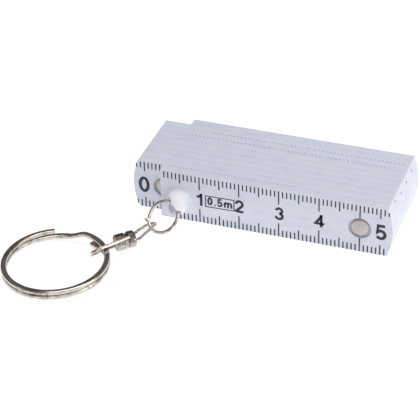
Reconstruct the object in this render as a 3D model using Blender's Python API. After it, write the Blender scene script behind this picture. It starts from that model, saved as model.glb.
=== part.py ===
"""Pocket folding rule: ten plastic segments of five centimetres, folded, with a swivel key ring.

The folded rule stands on the long edges of its segments.
X runs along the segments, from the zero mark towards the five-centimetre pivot.
Y runs from the front segment to the back one, along every pivot. Z is up.
The origin is on the bottom edge of the front segment, halfway between its two ends' pivots.
"""

import math

import bmesh
import bpy
from mathutils import Matrix, Vector

MM = 0.001

# The rule
SEGMENTS = 10
PIVOT_PITCH = 50.0 * MM
WIDTH = 13.3 * MM
THICKNESS = 2.36 * MM
SEGMENT_GAP = 0.10 * MM
END_RADIUS = 18.0 * MM
END_REACH = 7.95 * MM
EDGE_BEVEL = 0.18 * MM

# The riveted joints
BORE_RADIUS = 1.48 * MM
SHANK_RADIUS = 1.40 * MM
COUNTERBORE_RADIUS = 2.75 * MM
HEAD_RADIUS = 2.15 * MM
HEAD_THICKNESS = 0.45 * MM
HEAD_RECESS = 0.10 * MM
TAIL_RADIUS = 2.10 * MM
WASHER_RADIUS = 2.45 * MM
WASHER_BORE = 1.50 * MM
WASHER_THICKNESS = 0.22 * MM
WASHER_DISH = 0.14 * MM
SEAT_CLEARANCE = 0.05 * MM
ROUND_STEPS = 16

# The lug on the front segment, which the jump ring passes through
LUG_FROM_ZERO = 4.95 * MM
LUG_HEIGHT_ABOVE_EDGE = 5.9 * MM
LUG_RADIUS = 2.85 * MM
LUG_STRAIGHT = 2.0 * MM
LUG_REACH = 5.2 * MM
TUNNEL_RADIUS = 0.52 * MM
TUNNEL_MIDDLE = -115.0
TUNNEL_HALF_ANGLE = 60.0
TUNNEL_SWING = 50.0
TUNNEL_LEAN_HIGH = 0.5
TUNNEL_LEAN_LOW = -0.3
SCOOP_ANGLE = -77.0
SCOOP_RADIUS = 2.4 * MM
SCOOP_LIFT = 1.9 * MM
DISH_FROM_LUG = Vector((-1.9, -7.4, -1.1)) * MM
DISH_RADIUS = 3.8 * MM

# The jump ring
JUMP_RADIUS = 4.05 * MM
JUMP_WIRE = 0.43 * MM
JUMP_TURN = -24.8
JUMP_LEAN = 46.4
JUMP_FROM_LUG = Vector((-2.59, -4.87, -2.69)) * MM
JUMP_OPENING_ANGLE = 29.0
JUMP_OPENING = 0.5
JUMP_FLARE = 1.0 * MM
JUMP_FLARE_ANGLE = 23.0

# The swivel: a barrel and a head that turn on one axis, lying on the floor
SWIVEL_TURN = 45.6
SWIVEL_FROM_LUG = Vector((-8.26, -15.40, -3.83)) * MM
DRUM_RADIUS = 2.03 * MM
HEAD_END = 2.18 * MM
GROOVE_HALF = 0.20 * MM
HEAD_START = 0.42 * MM
NECK_RADIUS = 1.50 * MM
STEM_RADIUS = 0.85 * MM
BARREL_END = 2.55 * MM
BARREL_WALL_END = 1.15 * MM
BARREL_CAVITY = 1.50 * MM
CAP_THICKNESS = 0.42 * MM
DRUM_ROUND = 0.42 * MM
DRUM_STEPS = 24
RUNNING_CLEARANCE = 0.06 * MM

# The wire link between the swivel head and the jump ring
LINK_WIRE = 0.40 * MM
LINK_HALF_WIDTH = 1.38 * MM
LINK_REACH = Vector((2.64, 9.20, -1.20)) * MM
LINK_ROLL = 20.0
LINK_ON_RING = 57.0
LINK_SEAT = 1.10 * MM

# The flat strap that carries the split ring
STRAP_TURN = 53.8
STRAP_ROLL = 47.0
STRAP_LENGTH = 9.30 * MM
STRAP_TAIL = 0.9 * MM
STRAP_HALF_WIDTH = 2.45 * MM
STRAP_THICKNESS = 0.45 * MM
STRAP_BREADTH = 0.72 * MM
PIN_POSITION = 0.68 * MM
PIN_RADIUS = 0.28 * MM
PIN_DEPTH = 0.62 * MM

# The split ring
RING_FROM_LUG = Vector((-20.86, -28.25, -6.08)) * MM
RING_OUTER = 12.91 * MM
RING_BAND = 1.40 * MM
RING_WIRE_HEIGHT = 1.04 * MM
RING_TURN_GAP = 0.08 * MM
RING_LIFT = 1.00 * MM
RING_HOOK_ANGLE = 39.0
RING_TIP_ANGLE = 64.0
RING_TIP_TUCK = 0.75 * MM
RING_TUCK_ANGLE = 34.0
RING_RAMP_START = 263.0
RING_RAMP_END = 284.0
RING_SWING = 0.48 * MM
RING_SWING_ANGLE = 26.0
RING_LAST_ANGLE = 606.0

HALF_PITCH = PIVOT_PITCH / 2
PIVOT_Z = WIDTH / 2
LAYER = THICKNESS + SEGMENT_GAP
FRONT_FACE = -THICKNESS / 2
LUG_CENTRE = Vector((LUG_FROM_ZERO - HALF_PITCH, FRONT_FACE, LUG_HEIGHT_ABOVE_EDGE))
ACROSS = Vector((0, 1, 0))
UP = Vector((0, 0, 1))


def clear_scene():
    for old in list(bpy.data.objects):
        bpy.data.objects.remove(old)


def plain_material(name, color, roughness, metallic):
    material = bpy.data.materials.new(name)
    material.use_nodes = True
    shader = material.node_tree.nodes["Principled BSDF"]
    shader.inputs["Base Color"].default_value = (*color, 1)
    shader.inputs["Roughness"].default_value = roughness
    shader.inputs["Metallic"].default_value = metallic
    return material


def white_plastic(name):
    return plain_material(name + "_plastic", (0.82, 0.82, 0.86), 0.4, 0)


def bright_nickel(name):
    return plain_material(name + "_nickel", (0.62, 0.58, 0.53), 0.18, 1)


def rivet_metal(name):
    return plain_material(name + "_metal", (0.66, 0.61, 0.56), 0.35, 1)


def spring_steel(name):
    return plain_material(name + "_steel", (0.45, 0.45, 0.46), 0.4, 1)


def add_object(name, bm, material, origin=Vector(), rotation=None):
    """Turn a bmesh into a named object with its faces pointing out, placed by origin and rotation."""
    bmesh.ops.recalc_face_normals(bm, faces=bm.faces)
    mesh = bpy.data.meshes.new(name)
    bm.to_mesh(mesh)
    bm.free()
    if material:
        mesh.materials.append(material)
    mesh.shade_smooth()
    mesh.set_sharp_from_angle(angle=math.radians(35))
    thing = bpy.data.objects.new(name, mesh)
    bpy.context.scene.collection.objects.link(thing)
    turn = rotation.to_4x4() if rotation else Matrix()
    thing.matrix_world = Matrix.Translation(origin) @ turn
    return thing


def axes(x_axis, y_axis, z_axis):
    """The rotation whose columns are three unit axes."""
    return Matrix((x_axis, y_axis, z_axis)).transposed()


def bridge(bm, first, second):
    """Faces between two rings of points, or between a ring and a single point."""
    count = max(len(first), len(second))
    for k in range(count):
        n = (k + 1) % count
        if len(first) == 1:
            bm.faces.new((first[0], second[k], second[n]))
        elif len(second) == 1:
            bm.faces.new((first[k], second[0], first[n]))
        else:
            bm.faces.new((first[k], second[k], second[n], first[n]))


def turned(profile, steps, is_ring=False):
    """A profile of (radius, height) turned about the Y axis."""
    bm = bmesh.new()
    rings = []
    for radius, height in profile:
        if radius == 0:
            rings.append([bm.verts.new((0, height, 0))])
            continue
        ring = []
        for k in range(steps):
            angle = 2 * math.pi * k / steps
            ring.append(bm.verts.new((radius * math.cos(angle), height, radius * math.sin(angle))))
        rings.append(ring)
    for first, second in zip(rings, rings[1:]):
        bridge(bm, first, second)
    if is_ring:
        bridge(bm, rings[-1], rings[0])
    return bm


def swept(stations, section):
    """A bar of one section through stations of (centre, first axis, second axis), with flat ends."""
    bm = bmesh.new()
    rings = []
    for centre, first, second in stations:
        rings.append([bm.verts.new(centre + first * a + second * b) for a, b in section])
    for first, second in zip(rings, rings[1:]):
        bridge(bm, first, second)
    bm.faces.new(rings[0])
    bm.faces.new(rings[-1])
    return bm


def round_section(radius, sides=8):
    angles = [2 * math.pi * k / sides for k in range(sides)]
    return [(radius * math.cos(a), radius * math.sin(a)) for a in angles]


def chamfered_section(width, height, chamfer):
    w, h = width / 2, height / 2
    return [
        (w, h - chamfer), (w - chamfer, h), (chamfer - w, h), (-w, h - chamfer),
        (-w, chamfer - h), (chamfer - w, -h), (w - chamfer, -h), (w, chamfer - h),
    ]


def along_path(points, first_axis):
    """Stations along a path, carrying the first axis along without twist."""
    stations = []
    carried = first_axis
    for k, point in enumerate(points):
        ahead = points[min(k + 1, len(points) - 1)]
        behind = points[max(k - 1, 0)]
        tangent = (ahead - behind).normalized()
        carried = (carried - tangent * carried.dot(tangent)).normalized()
        stations.append((point, carried, tangent.cross(carried)))
    return stations


def use_cutter(thing, cutter, operation="DIFFERENCE"):
    cutter.hide_render = True
    cutter.display_type = "WIRE"
    cut = thing.modifiers.new(cutter.name, "BOOLEAN")
    cut.operation = operation
    cut.solver = "EXACT"
    cut.object = cutter


# The rule's segments, rivets and washers


def pivot_x(hinge):
    """Odd hinges are at the five-centimetre end, and even ones at the zero end."""
    return HALF_PITCH if hinge % 2 else -HALF_PITCH


def layer_y(segment):
    return (segment - 1) * LAYER


def end_arc(steps=8):
    """One rounded end, from the bottom corner to the top one, with x outwards from mid-length."""
    centre_x = HALF_PITCH + END_REACH - END_RADIUS
    half_angle = math.asin(WIDTH / 2 / END_RADIUS)
    points = []
    for k in range(steps + 1):
        angle = half_angle * (2 * k / steps - 1)
        points.append((centre_x + END_RADIUS * math.cos(angle), PIVOT_Z + END_RADIUS * math.sin(angle)))
    return points


def segment_outline(segment):
    """The side view, anticlockwise. The first and the last segment are cut straight at the zero end."""
    right = end_arc()
    if segment in (1, SEGMENTS):
        left = [(HALF_PITCH, 0), (HALF_PITCH, WIDTH)]
    else:
        left = end_arc()
    return right + [(-x, z) for x, z in reversed(left)]


def prism(outline, origin):
    """An outline in X and Z, given the segment's thickness along Y, seen from an origin."""
    bm = bmesh.new()
    front = [bm.verts.new((x - origin.x, -THICKNESS / 2, z - origin.z)) for x, z in outline]
    back = [bm.verts.new((x - origin.x, THICKNESS / 2, z - origin.z)) for x, z in outline]
    bridge(bm, front, back)
    bm.faces.new(front)
    bm.faces.new(back)
    return bm


def pivot_drill(name, place, counterbore_depth, from_front):
    """A stepped drill: a bore right through, and a counterbore from the front or from the back."""
    margin = 1.0 * MM
    step = THICKNESS / 2 - counterbore_depth
    profile = [
        (0, -THICKNESS / 2 - margin),
        (COUNTERBORE_RADIUS, -THICKNESS / 2 - margin),
        (COUNTERBORE_RADIUS, -step),
        (BORE_RADIUS, -step),
        (BORE_RADIUS, THICKNESS / 2 + margin),
        (0, THICKNESS / 2 + margin),
    ]
    if not from_front:
        profile = [(radius, -height) for radius, height in profile]
    return add_object(name, turned(profile, ROUND_STEPS), None, place)


HEAD_DEPTH = HEAD_RECESS + HEAD_THICKNESS + SEAT_CLEARANCE
TAIL_DEPTH = HEAD_DEPTH + WASHER_THICKNESS + WASHER_DISH + SEAT_CLEARANCE


def make_segment(segment):
    """A segment's origin is on the pivot that joins it to the segment in front of it."""
    origin = Vector((pivot_x(segment - 1), layer_y(segment), PIVOT_Z))
    name = f"segment_{segment:02d}"
    body = add_object(name, prism(segment_outline(segment), origin), white_plastic(name), origin)
    bevel = body.modifiers.new("eased_edges", "BEVEL")
    bevel.width = EDGE_BEVEL
    bevel.segments = 1
    bevel.angle_limit = math.radians(60)
    if segment < SEGMENTS:
        place = Vector((pivot_x(segment), layer_y(segment), PIVOT_Z))
        use_cutter(body, pivot_drill(f"head_drill_{segment:02d}", place, HEAD_DEPTH, True))
    if segment > 1:
        use_cutter(body, pivot_drill(f"tail_drill_{segment:02d}", origin, TAIL_DEPTH, False))
    return body


def make_rivet(hinge):
    """The head sits in the front segment of the pair and the tail in the one behind it."""
    start = -THICKNESS / 2 + HEAD_RECESS
    end = LAYER + THICKNESS / 2 - HEAD_RECESS
    ease = 0.08 * MM
    profile = [
        (0, start),
        (HEAD_RADIUS - ease, start),
        (HEAD_RADIUS, start + ease),
        (HEAD_RADIUS, start + HEAD_THICKNESS),
        (SHANK_RADIUS, start + HEAD_THICKNESS),
        (SHANK_RADIUS, end - HEAD_THICKNESS),
        (TAIL_RADIUS, end - HEAD_THICKNESS),
        (TAIL_RADIUS, end - ease),
        (TAIL_RADIUS - ease, end),
        (0, end),
    ]
    name = f"rivet_{hinge:02d}"
    place = Vector((pivot_x(hinge), layer_y(hinge), PIVOT_Z))
    add_object(name, turned(profile, ROUND_STEPS), rivet_metal(name), place)


def make_spring_washer(hinge):
    """A dished washer between the rivet's tail and the floor of the rear counterbore."""
    seat = THICKNESS / 2 - TAIL_DEPTH + SEAT_CLEARANCE
    profile = [
        (WASHER_BORE, seat + WASHER_DISH),
        (WASHER_RADIUS, seat),
        (WASHER_RADIUS, seat + WASHER_THICKNESS),
        (WASHER_BORE, seat + WASHER_DISH + WASHER_THICKNESS),
    ]
    name = f"spring_washer_{hinge:02d}"
    place = Vector((pivot_x(hinge), layer_y(hinge + 1), PIVOT_Z))
    add_object(name, turned(profile, ROUND_STEPS, is_ring=True), spring_steel(name), place)


# The lug and the jump ring


def jump_ring_axes():
    turn, lean = math.radians(JUMP_TURN), math.radians(JUMP_LEAN)
    normal = Vector((math.sin(turn) * math.cos(lean), -math.cos(turn) * math.cos(lean), math.sin(lean)))
    level = normal.cross(UP).normalized()
    return axes(level, normal.cross(level), normal)


def jump_ring_centre():
    return LUG_CENTRE + JUMP_FROM_LUG


def circle_stations(radius, first_angle, last_angle, steps, flare=lambda angle: 0):
    """Stations round a circle in the XY plane, with an optional change of radius by angle."""
    stations = []
    for k in range(steps + 1):
        angle = math.radians(first_angle + (last_angle - first_angle) * k / steps)
        outward = Vector((math.cos(angle), math.sin(angle), 0))
        stations.append((outward * (radius + flare(math.degrees(angle))), outward, UP))
    return stations


def add_lug(body):
    """A round-ended boss on the front face, with a curved tunnel along the jump ring's own circle."""
    root = 0.8 * MM
    profile = [(0, root), (LUG_RADIUS, root), (LUG_RADIUS, -LUG_STRAIGHT)]
    steps = 6
    for k in range(1, steps + 1):
        angle = math.pi / 2 * k / steps
        radius = LUG_RADIUS * math.cos(angle) if k < steps else 0
        profile.append((radius, -LUG_STRAIGHT - (LUG_REACH - LUG_STRAIGHT) * math.sin(angle)))
    lug = add_object("lug_form", turned(profile, DRUM_STEPS), None, LUG_CENTRE)
    use_cutter(body, lug, "UNION")
    first, last = TUNNEL_MIDDLE - TUNNEL_HALF_ANGLE, TUNNEL_MIDDLE + TUNNEL_HALF_ANGLE
    opening = 2 * JUMP_RADIUS * math.sin(math.radians(TUNNEL_SWING / 2))
    off_face = jump_ring_axes().transposed() @ -ACROSS
    stations = []
    for k, (centre, outward, aside) in enumerate(circle_stations(JUMP_RADIUS, first, last, 16)):
        off_middle = math.radians(TUNNEL_HALF_ANGLE) * (k / 8 - 1)
        growth = opening * (1 - math.cos(off_middle))
        radius = TUNNEL_RADIUS + growth
        lean = TUNNEL_LEAN_HIGH if off_middle > 0 else TUNNEL_LEAN_LOW
        stations.append((centre + off_face * growth * lean, outward * radius, aside * radius))
    tunnel = swept(stations, round_section(1, 12))
    use_cutter(body, add_object("lug_tunnel", tunnel, None, jump_ring_centre(), jump_ring_axes()))
    scoop_centre = point_on_jump_ring(SCOOP_ANGLE)[0] - ACROSS * SCOOP_LIFT
    for radius, place in ((SCOOP_RADIUS, scoop_centre), (DISH_RADIUS, LUG_CENTRE + DISH_FROM_LUG)):
        ball = bmesh.new()
        bmesh.ops.create_icosphere(ball, subdivisions=3, radius=radius)
        use_cutter(body, add_object("lug_hollow", ball, None, place))


def make_jump_ring():
    """An open wire ring. One of its ends has sprung outwards past the other."""

    def flare(angle):
        share = (JUMP_OPENING_ANGLE + JUMP_FLARE_ANGLE - angle) / JUMP_FLARE_ANGLE
        return JUMP_FLARE * max(0, share) ** 2

    last = JUMP_OPENING_ANGLE + 360 - JUMP_OPENING
    stations = circle_stations(JUMP_RADIUS, JUMP_OPENING_ANGLE, last, 40, flare)
    ring = swept(stations, round_section(JUMP_WIRE))
    place, turn = jump_ring_centre(), jump_ring_axes()
    add_object("jump_ring", ring, bright_nickel("jump_ring"), place, turn)


# The swivel, with Y as its axis, towards the jump ring


def level_direction(turn):
    return Vector((math.cos(math.radians(turn)), math.sin(math.radians(turn)), 0))


def swivel_axes():
    ahead = level_direction(SWIVEL_TURN)
    return axes(ahead.cross(UP), ahead, UP)


def swivel_centre():
    return LUG_CENTRE + SWIVEL_FROM_LUG


def make_swivel_head():
    """The head drum, with the stem that passes through the barrel's wall."""
    stem_end = -BARREL_END + CAP_THICKNESS + 0.15 * MM
    profile = [
        (0, stem_end),
        (STEM_RADIUS, stem_end),
        (STEM_RADIUS, -GROOVE_HALF + RUNNING_CLEARANCE),
        (NECK_RADIUS, -GROOVE_HALF + RUNNING_CLEARANCE),
        (NECK_RADIUS, HEAD_START),
        (DRUM_RADIUS - DRUM_ROUND / 3, HEAD_START),
        (DRUM_RADIUS, HEAD_START + DRUM_ROUND / 3),
        (DRUM_RADIUS, HEAD_END - DRUM_ROUND),
        (DRUM_RADIUS - DRUM_ROUND * 0.3, HEAD_END - DRUM_ROUND * 0.3),
        (DRUM_RADIUS - DRUM_ROUND, HEAD_END),
        (0, HEAD_END),
    ]
    head = turned(profile, DRUM_STEPS)
    body = add_object("swivel_head", head, bright_nickel("swivel_head"), swivel_centre(), swivel_axes())
    for side in (-1, 1):
        seat = [(0, 0), (LINK_WIRE + 0.04 * MM, 0), (LINK_WIRE + 0.04 * MM, 3 * MM), (0, 3 * MM)]
        offset = Vector((side * LINK_HALF_WIDTH, HEAD_END - LINK_SEAT, 0))
        place = swivel_centre() + swivel_axes() @ offset
        drill = add_object(f"link_seat_{side + 1}", turned(seat, 12), None, place, swivel_axes())
        use_cutter(body, drill)


def make_stem_collar():
    """The ring that is riveted on the stem inside the barrel, and keeps the head on."""
    inner, outer = STEM_RADIUS + 0.03 * MM, BARREL_CAVITY - 0.2 * MM
    start = -BARREL_WALL_END - RUNNING_CLEARANCE
    end = start - 0.45 * MM
    profile = [(inner, start), (outer, start), (outer, end), (inner, end)]
    collar = turned(profile, DRUM_STEPS, is_ring=True)
    add_object("stem_collar", collar, spring_steel("stem_collar"), swivel_centre(), swivel_axes())


def make_swivel_barrel():
    """A tube with a wall at the head's side, and two holes for the strap's pins."""
    bore = STEM_RADIUS + RUNNING_CLEARANCE
    profile = [
        (bore, -GROOVE_HALF),
        (DRUM_RADIUS - DRUM_ROUND / 3, -GROOVE_HALF),
        (DRUM_RADIUS, -GROOVE_HALF - DRUM_ROUND / 3),
        (DRUM_RADIUS, -BARREL_END + DRUM_ROUND),
        (DRUM_RADIUS - DRUM_ROUND * 0.3, -BARREL_END + DRUM_ROUND * 0.3),
        (DRUM_RADIUS - DRUM_ROUND, -BARREL_END),
        (BARREL_CAVITY, -BARREL_END),
        (BARREL_CAVITY, -BARREL_WALL_END),
        (bore, -BARREL_WALL_END),
    ]
    shell = turned(profile, DRUM_STEPS, is_ring=True)
    body = add_object("swivel_barrel", shell, bright_nickel("swivel_barrel"), swivel_centre(), swivel_axes())
    hole = PIN_RADIUS + 0.05 * MM
    reach = 2 * DRUM_RADIUS
    for side in (-1, 1):
        depth = DRUM_RADIUS - PIN_DEPTH
        profile = [(0, side * depth), (hole, side * depth), (hole, side * reach), (0, side * reach)]
        drill = add_object(f"pin_hole_{side + 1}", turned(profile, 12), None, strap_centre(), strap_axes())
        use_cutter(body, drill)


def make_barrel_cap():
    """The plug in the barrel's far end."""
    radius = BARREL_CAVITY - 0.03 * MM
    start = -BARREL_END + 0.04 * MM
    profile = [(0, start), (radius, start), (radius, start + CAP_THICKNESS), (0, start + CAP_THICKNESS)]
    cap = turned(profile, DRUM_STEPS)
    add_object("barrel_cap", cap, bright_nickel("barrel_cap"), swivel_centre(), swivel_axes())


def link_path():
    """One wire, out of the swivel head, round the jump ring and back. Its origin is the swivel's centre."""
    ahead = swivel_axes() @ ACROSS
    sideways = swivel_axes() @ Vector((1, 0, 0))
    end_face = ahead * HEAD_END
    reach = LINK_REACH - end_face
    straight = reach.normalized()
    roll = math.radians(LINK_ROLL)
    level = straight.cross(UP).normalized()
    across = level * math.cos(roll) + level.cross(straight) * math.sin(roll)
    arm = []
    steps = 5
    for k in range(steps + 1):
        share = k / steps
        ease = share * share * (3 - 2 * share)
        middle = end_face + (ahead * reach.length * share).lerp(reach * share, min(1, 3.5 * share))
        arm.append((middle, sideways.lerp(across, ease).normalized()))
    points = [ahead * (HEAD_END - LINK_SEAT + 0.05 * MM) + sideways * LINK_HALF_WIDTH]
    points += [middle + side * LINK_HALF_WIDTH for middle, side in arm]
    bend = 10
    for k in range(1, bend):
        angle = math.pi * k / bend
        offset = across * math.cos(angle) + straight * math.sin(angle)
        points.append(LINK_REACH + offset * LINK_HALF_WIDTH)
    points += [middle - side * LINK_HALF_WIDTH for middle, side in reversed(arm)]
    points.append(ahead * (HEAD_END - LINK_SEAT + 0.05 * MM) - sideways * LINK_HALF_WIDTH)
    return points


def make_ring_link():
    wire = swept(along_path(link_path(), UP), round_section(LINK_WIRE))
    add_object("ring_link", wire, bright_nickel("ring_link"), swivel_centre())


# The strap and the split ring


def strap_axes():
    """X towards the swivel head, Y along the pins, which lean towards the front."""
    ahead = level_direction(STRAP_TURN)
    front = ahead.cross(UP)
    roll = math.radians(STRAP_ROLL)
    pins = front * math.cos(roll) + UP * math.sin(roll)
    return axes(ahead, pins, ahead.cross(pins))


def strap_centre():
    """The middle of the pins, inside the barrel's wall."""
    return swivel_centre() + swivel_axes() @ Vector((0, -PIN_POSITION, 0))


def make_key_link():
    """A flat strap bent into a U, with a pin at the end of each arm."""
    h = STRAP_HALF_WIDTH
    bend_x = -STRAP_LENGTH + h + STRAP_THICKNESS / 2
    stations = [(Vector((STRAP_TAIL, h, 0)), ACROSS, UP)]
    steps = 10
    for k in range(steps + 1):
        angle = math.pi * k / steps
        outward = Vector((-math.sin(angle), math.cos(angle), 0))
        stations.append((Vector((bend_x, 0, 0)) + outward * h, outward, UP))
    stations.append((Vector((STRAP_TAIL, -h, 0)), -ACROSS, UP))
    strap = swept(stations, chamfered_section(STRAP_THICKNESS, STRAP_BREADTH, 0.1 * MM))
    body = add_object("key_link", strap, bright_nickel("key_link"), strap_centre(), strap_axes())
    for side in (-1, 1):
        tip, root = DRUM_RADIUS - PIN_DEPTH + 0.05 * MM, h
        profile = [(0, side * tip), (PIN_RADIUS, side * tip), (PIN_RADIUS, side * root), (0, side * root)]
        pin = add_object(f"strap_pin_{side + 1}", turned(profile, 12), None, strap_centre(), strap_axes())
        use_cutter(body, pin, "UNION")


def split_ring_axes():
    """The ring lies on the floor, lifted a little on the side where the strap passes under it."""
    towards = level_direction(RING_HOOK_ANGLE)
    slope = math.asin(RING_LIFT / (2 * RING_OUTER - RING_BAND))
    aside = UP.cross(towards)
    rise = towards * math.cos(slope) + UP * math.sin(slope)
    normal = rise.cross(aside)
    tilt = axes(rise, aside, normal)
    return tilt @ Matrix.Rotation(-math.radians(RING_HOOK_ANGLE), 3, "Z")


def split_ring_centre():
    slope = math.asin(RING_LIFT / (2 * RING_OUTER - RING_BAND))
    return LUG_CENTRE + RING_FROM_LUG + UP * (RING_OUTER * math.sin(slope) + 0.02 * MM)


def smooth_share(value, start, end):
    share = min(1, max(0, (value - start) / (end - start)))
    return share * share * (3 - 2 * share)


def make_split_ring():
    """Nearly two turns of flat wire. The lower one starts tucked in, and swings in again where it climbs."""
    middle = RING_OUTER - RING_BAND / 2
    stations = []
    step = 7.5
    count = round((RING_LAST_ANGLE + RING_TIP_ANGLE) / step)
    for k in range(count + 1):
        travelled = (RING_LAST_ANGLE + RING_TIP_ANGLE) * k / count
        angle = math.radians(RING_TIP_ANGLE - travelled)
        tuck = RING_TIP_TUCK * (1 - smooth_share(travelled, 0, RING_TUCK_ANGLE))
        past_start = travelled - RING_TIP_ANGLE
        turn = smooth_share(past_start, RING_RAMP_START, RING_RAMP_END)
        height = RING_WIRE_HEIGHT / 2 + turn * (RING_WIRE_HEIGHT + RING_TURN_GAP)
        swing_start = RING_RAMP_START - 2 * RING_SWING_ANGLE
        swings_in = smooth_share(past_start, swing_start, swing_start + RING_SWING_ANGLE)
        swings_back = smooth_share(past_start, RING_RAMP_START, RING_RAMP_START + RING_SWING_ANGLE)
        tuck += RING_SWING * (swings_in - swings_back)
        outward = Vector((math.cos(angle), math.sin(angle), 0))
        stations.append((outward * (middle - tuck) + UP * height, outward, UP))
    ring = swept(stations, chamfered_section(RING_BAND, RING_WIRE_HEIGHT, 0.32 * MM))
    add_object("split_ring", ring, bright_nickel("split_ring"), split_ring_centre(), split_ring_axes())


# The chain's pivots


def add_pivot(name, place, axis, parent=None):
    """An empty on a joint's axis, with its Z along it. What turns on the joint is its child."""
    pivot = bpy.data.objects.new(name, None)
    pivot.empty_display_size = 3 * MM
    bpy.context.scene.collection.objects.link(pivot)
    turn = UP.rotation_difference(axis).to_matrix().to_4x4()
    pivot.matrix_world = Matrix.Translation(place) @ turn
    if parent:
        hold(parent, pivot)
    return pivot


def hold(parent, child):
    child.parent = parent
    child.matrix_parent_inverse = parent.matrix_world.inverted()


def point_on_jump_ring(degrees):
    """A point of the ring's centre line, and its tangent there."""
    angle = math.radians(degrees)
    outward = Vector((math.cos(angle), math.sin(angle), 0))
    tangent = Vector((-math.sin(angle), math.cos(angle), 0))
    turn = jump_ring_axes()
    return jump_ring_centre() + turn @ outward * JUMP_RADIUS, turn @ tangent


def hook_point():
    """The middle of the split ring's band where the strap holds it, and the direction along it."""
    angle = math.radians(RING_HOOK_ANGLE)
    turn = split_ring_axes()
    outward = Vector((math.cos(angle), math.sin(angle), 0))
    along = Vector((-math.sin(angle), math.cos(angle), 0))
    height = UP * (RING_WIRE_HEIGHT + RING_TURN_GAP / 2)
    return split_ring_centre() + turn @ (outward * (RING_OUTER - RING_BAND / 2) + height), turn @ along


def hang_chain():
    pieces = bpy.data.objects
    lug_pivot = add_pivot("lug_pivot", *point_on_jump_ring(TUNNEL_MIDDLE))
    link_pivot = add_pivot("link_pivot", *point_on_jump_ring(LINK_ON_RING), lug_pivot)
    swivel_pivot = add_pivot("swivel_pivot", swivel_centre(), swivel_axes() @ ACROSS, link_pivot)
    strap_pivot = add_pivot("strap_pivot", strap_centre(), strap_axes() @ ACROSS, swivel_pivot)
    key_ring_pivot = add_pivot("key_ring_pivot", *hook_point(), strap_pivot)
    hold(lug_pivot, pieces["jump_ring"])
    for name in ("ring_link", "swivel_head", "stem_collar"):
        hold(link_pivot, pieces[name])
    hold(swivel_pivot, pieces["swivel_barrel"])
    hold(swivel_pivot, pieces["barrel_cap"])
    hold(strap_pivot, pieces["key_link"])
    hold(key_ring_pivot, pieces["split_ring"])


def main():
    clear_scene()
    for segment in range(1, SEGMENTS + 1):
        body = make_segment(segment)
        if segment == 1:
            add_lug(body)
    for hinge in range(1, SEGMENTS):
        make_rivet(hinge)
        make_spring_washer(hinge)
    make_jump_ring()
    make_swivel_head()
    make_stem_collar()
    make_swivel_barrel()
    make_barrel_cap()
    make_ring_link()
    make_key_link()
    make_split_ring()
    hang_chain()


main()
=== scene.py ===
import math

import bmesh
import bpy
from mathutils import Matrix, Vector


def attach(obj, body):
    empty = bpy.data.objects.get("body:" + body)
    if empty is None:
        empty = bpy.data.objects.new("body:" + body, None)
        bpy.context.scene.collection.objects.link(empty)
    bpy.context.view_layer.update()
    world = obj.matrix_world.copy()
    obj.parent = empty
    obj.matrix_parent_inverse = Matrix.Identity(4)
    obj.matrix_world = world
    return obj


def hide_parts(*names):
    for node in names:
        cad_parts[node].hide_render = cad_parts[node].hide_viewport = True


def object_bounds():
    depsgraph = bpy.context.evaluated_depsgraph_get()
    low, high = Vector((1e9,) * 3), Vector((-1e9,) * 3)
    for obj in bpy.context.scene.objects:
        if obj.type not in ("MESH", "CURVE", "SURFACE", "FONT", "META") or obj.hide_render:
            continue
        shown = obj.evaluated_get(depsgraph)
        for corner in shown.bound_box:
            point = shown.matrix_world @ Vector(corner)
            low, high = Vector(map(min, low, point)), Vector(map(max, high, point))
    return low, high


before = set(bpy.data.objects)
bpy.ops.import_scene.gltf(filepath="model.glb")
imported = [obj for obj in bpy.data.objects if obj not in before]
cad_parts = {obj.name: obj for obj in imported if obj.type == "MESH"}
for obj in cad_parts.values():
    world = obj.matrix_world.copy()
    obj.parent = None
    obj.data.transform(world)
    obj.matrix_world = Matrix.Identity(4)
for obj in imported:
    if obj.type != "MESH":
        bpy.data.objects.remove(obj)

CAD_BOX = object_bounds()

MM = 0.001
UP = Vector((0, 0, 1))
ACROSS = Vector((0, 1, 0))

# The rule. CAD_THICKNESS is the CAD segment's; the visible one is a little thicker, which
# narrows the gaps between the layers.

SEGMENTS = 10
PITCH = 50 * MM
WIDTH = 13.3 * MM
LAYER = 2.46 * MM
CAD_THICKNESS = 2.36 * MM
THICKNESS = 2.41 * MM
END_RADIUS = 18 * MM
END_REACH = 7.95 * MM
PIVOT_Z = WIDTH / 2
BORE_RADIUS = 1.48 * MM
COUNTERBORE_RADIUS = 2.75 * MM
HEAD_DEPTH = 0.60 * MM
TAIL_DEPTH = 1.01 * MM
INK_LIFT = 0.012 * MM

LUG = Vector((4.95 * MM - PITCH / 2, -CAD_THICKNESS / 2, 5.9 * MM))


def replace_node(piece, node, body):
    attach(piece, body)
    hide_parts(node)
    return piece


def body_of_segment(segment):
    return f"rule_{segment:02d}"


# Mesh tools

SHARP_ANGLE = 35
CORNER_SHARE = 0.45
TIP_ANGLES = (75, 50, 25)


def axes(x_axis, y_axis, z_axis):
    return Matrix((x_axis, y_axis, z_axis)).transposed()


def new_object(name, bm, material, place=None, turn=None, sharp=SHARP_ANGLE, is_solid=True):
    """Build an object whose origin is the world's, with its place in its mesh."""
    matrix = Matrix.Translation(place or Vector()) @ (turn.to_4x4() if turn else Matrix())
    bm.transform(matrix)
    if is_solid:
        bmesh.ops.recalc_face_normals(bm, faces=bm.faces)
    mesh = bpy.data.meshes.new(name)
    bm.to_mesh(mesh)
    bm.free()
    if material:
        mesh.materials.append(material)
    mesh.shade_smooth()
    mesh.set_sharp_from_angle(angle=math.radians(sharp))
    thing = bpy.data.objects.new(name, mesh)
    bpy.context.scene.collection.objects.link(thing)
    return thing


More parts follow.
